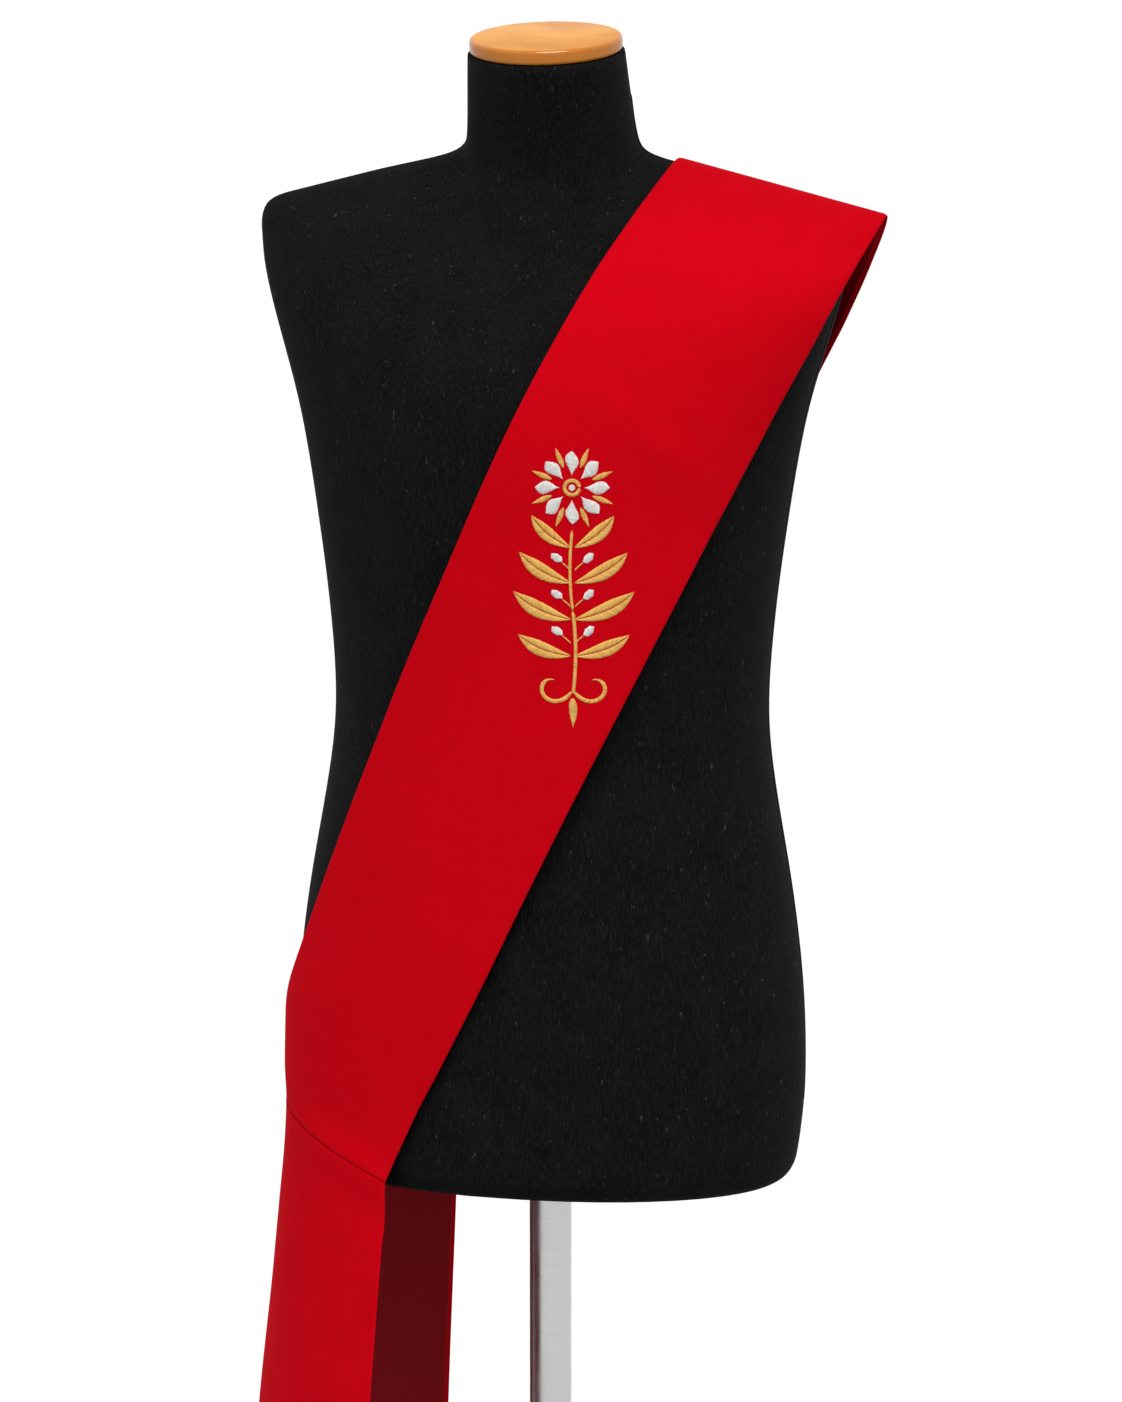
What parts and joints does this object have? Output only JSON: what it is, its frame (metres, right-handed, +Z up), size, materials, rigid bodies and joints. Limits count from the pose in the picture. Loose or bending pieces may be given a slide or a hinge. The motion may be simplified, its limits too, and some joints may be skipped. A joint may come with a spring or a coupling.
{
  "type": "clerical stole on a limbless dress form",
  "caption": "Wide red stole worn crosswise from the left shoulder to the right hip, with hanging tails, on a limbless dress form with a wooden neck cap, a pole and a round base.",
  "frame": {"origin": "centre of the base plate's underside, on the floor", "axes": "+Z up along the pole; the figure faces -Y, and its left shoulder, which carries the stole, is towards +X"},
  "size_m": [0.496, 0.39, 1.5877],
  "materials": {
    "stole_cloth": "fine twill with a soft sheen",
    "form_cover": "matt black jersey",
    "cap_wood": "varnished",
    "pole_steel": "brushed",
    "base_enamel": "satin black enamel"
  },
  "bodies": {
    "root": {"front_band": "stole_cloth", "back_band": "stole_cloth", "front_tail": "stole_cloth", "back_tail": "stole_cloth", "torso": "form_cover", "neck_cap": "cap_wood", "pole": "pole_steel", "pole_socket": "base_enamel", "base_plate": "base_enamel"}
  },
  "joints": []
}
